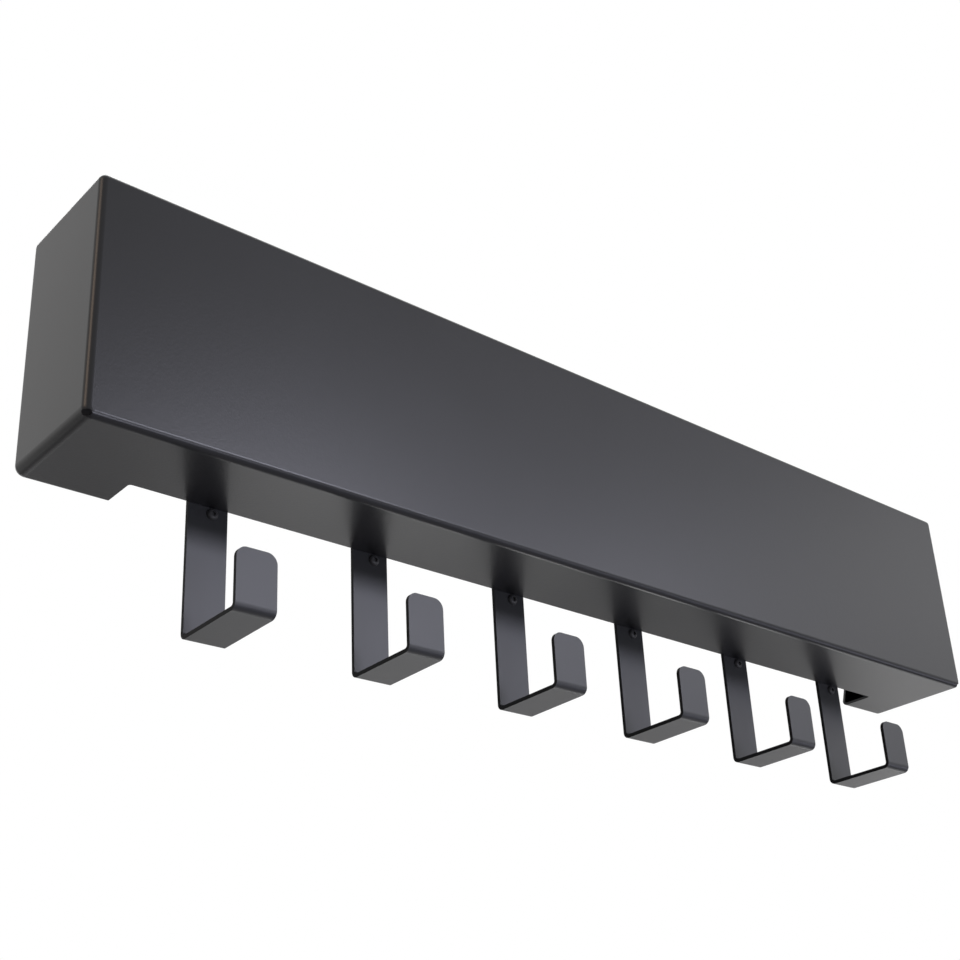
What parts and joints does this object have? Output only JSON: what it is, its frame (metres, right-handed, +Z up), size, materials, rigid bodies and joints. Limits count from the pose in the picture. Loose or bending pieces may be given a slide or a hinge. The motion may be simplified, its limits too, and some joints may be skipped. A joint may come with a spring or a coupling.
{
  "type": "wall coat rack",
  "caption": "Folded sheet-steel box that hangs on two wall screws through keyhole slots, with a row of J-shaped strip hooks below it for coats and bags.",
  "frame": {"origin": "in the wall plane, midway between the seats of the two keyhole slots", "axes": "+X along the wall to the right as seen from the room, -Y out of the wall into the room, +Z up"},
  "size_m": [0.6, 0.065, 0.183],
  "materials": {
    "housing_coat": "satin black powder coat",
    "hook_coat": "satin black powder coat",
    "screw_finish": "black coated steel"
  },
  "bodies": {
    "root": {"housing": "housing_coat", "hook_rail": "housing_coat", "hook_1": "hook_coat", "hook_2": "hook_coat", "hook_3": "hook_coat", "hook_4": "hook_coat", "hook_5": "hook_coat", "hook_6": "hook_coat", "hook_screws": "screw_finish"}
  },
  "joints": []
}
